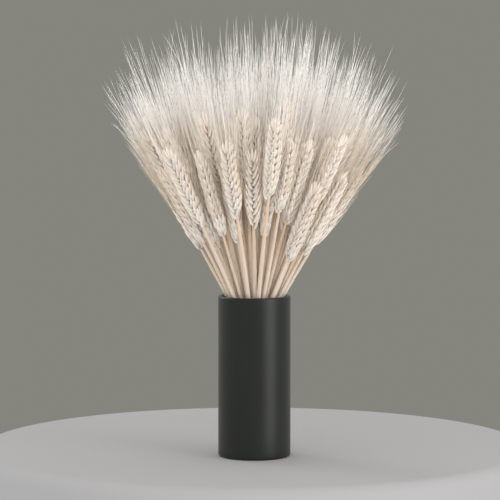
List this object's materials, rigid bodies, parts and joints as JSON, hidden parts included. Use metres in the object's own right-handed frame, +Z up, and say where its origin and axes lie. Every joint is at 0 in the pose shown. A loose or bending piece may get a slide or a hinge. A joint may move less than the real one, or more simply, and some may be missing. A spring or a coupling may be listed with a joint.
{
  "type": "dried wheat bunch in a vase",
  "caption": "Fan-shaped bunch of bleached bearded wheat ears on bare stems, standing loose in a plain dark cylinder vase.",
  "frame": {"origin": "middle of the vase's flat underside, on the surface it stands on", "axes": "+Z up along the vase's axis; -Y faces the camera of the picture"},
  "size_m": [0.3023, 0.3405, 0.4291],
  "materials": {
    "dark_satin_glaze": "satin glaze",
    "bleached_straw": "dry matte straw"
  },
  "bodies": {
    "root": {"vase": "dark_satin_glaze", "wheat_stalk_01": "bleached_straw", "wheat_stalk_02": "bleached_straw", "wheat_stalk_03": "bleached_straw", "wheat_stalk_04": "bleached_straw", "wheat_stalk_05": "bleached_straw", "wheat_stalk_06": "bleached_straw", "wheat_stalk_07": "bleached_straw", "wheat_stalk_08": "bleached_straw", "wheat_stalk_09": "bleached_straw", "wheat_stalk_10": "bleached_straw", "wheat_stalk_11": "bleached_straw", "wheat_stalk_12": "bleached_straw", "wheat_stalk_13": "bleached_straw", "wheat_stalk_14": "bleached_straw", "wheat_stalk_15": "bleached_straw", "wheat_stalk_16": "bleached_straw", "wheat_stalk_17": "bleached_straw", "wheat_stalk_18": "bleached_straw", "wheat_stalk_19": "bleached_straw", "wheat_stalk_20": "bleached_straw", "wheat_stalk_21": "bleached_straw", "wheat_stalk_22": "bleached_straw", "wheat_stalk_23": "bleached_straw", "wheat_stalk_24": "bleached_straw", "wheat_stalk_25": "bleached_straw", "wheat_stalk_26": "bleached_straw", "wheat_stalk_27": "bleached_straw", "wheat_stalk_28": "bleached_straw", "wheat_stalk_29": "bleached_straw", "wheat_stalk_30": "bleached_straw", "wheat_stalk_31": "bleached_straw", "wheat_stalk_32": "bleached_straw", "wheat_stalk_33": "bleached_straw", "wheat_stalk_34": "bleached_straw", "wheat_stalk_35": "bleached_straw", "wheat_stalk_36": "bleached_straw", "wheat_stalk_37": "bleached_straw", "wheat_stalk_38": "bleached_straw", "wheat_stalk_39": "bleached_straw", "wheat_stalk_40": "bleached_straw", "wheat_stalk_41": "bleached_straw", "wheat_stalk_42": "bleached_straw", "wheat_stalk_43": "bleached_straw", "wheat_stalk_44": "bleached_straw", "wheat_stalk_45": "bleached_straw", "wheat_stalk_46": "bleached_straw", "wheat_stalk_47": "bleached_straw", "wheat_stalk_48": "bleached_straw", "wheat_stalk_49": "bleached_straw", "wheat_stalk_50": "bleached_straw", "wheat_stalk_51": "bleached_straw", "wheat_stalk_52": "bleached_straw", "wheat_stalk_53": "bleached_straw", "wheat_stalk_54": "bleached_straw", "wheat_stalk_55": "bleached_straw", "wheat_stalk_56": "bleached_straw", "wheat_stalk_57": "bleached_straw", "wheat_stalk_58": "bleached_straw", "wheat_stalk_59": "bleached_straw"}
  },
  "joints": []
}
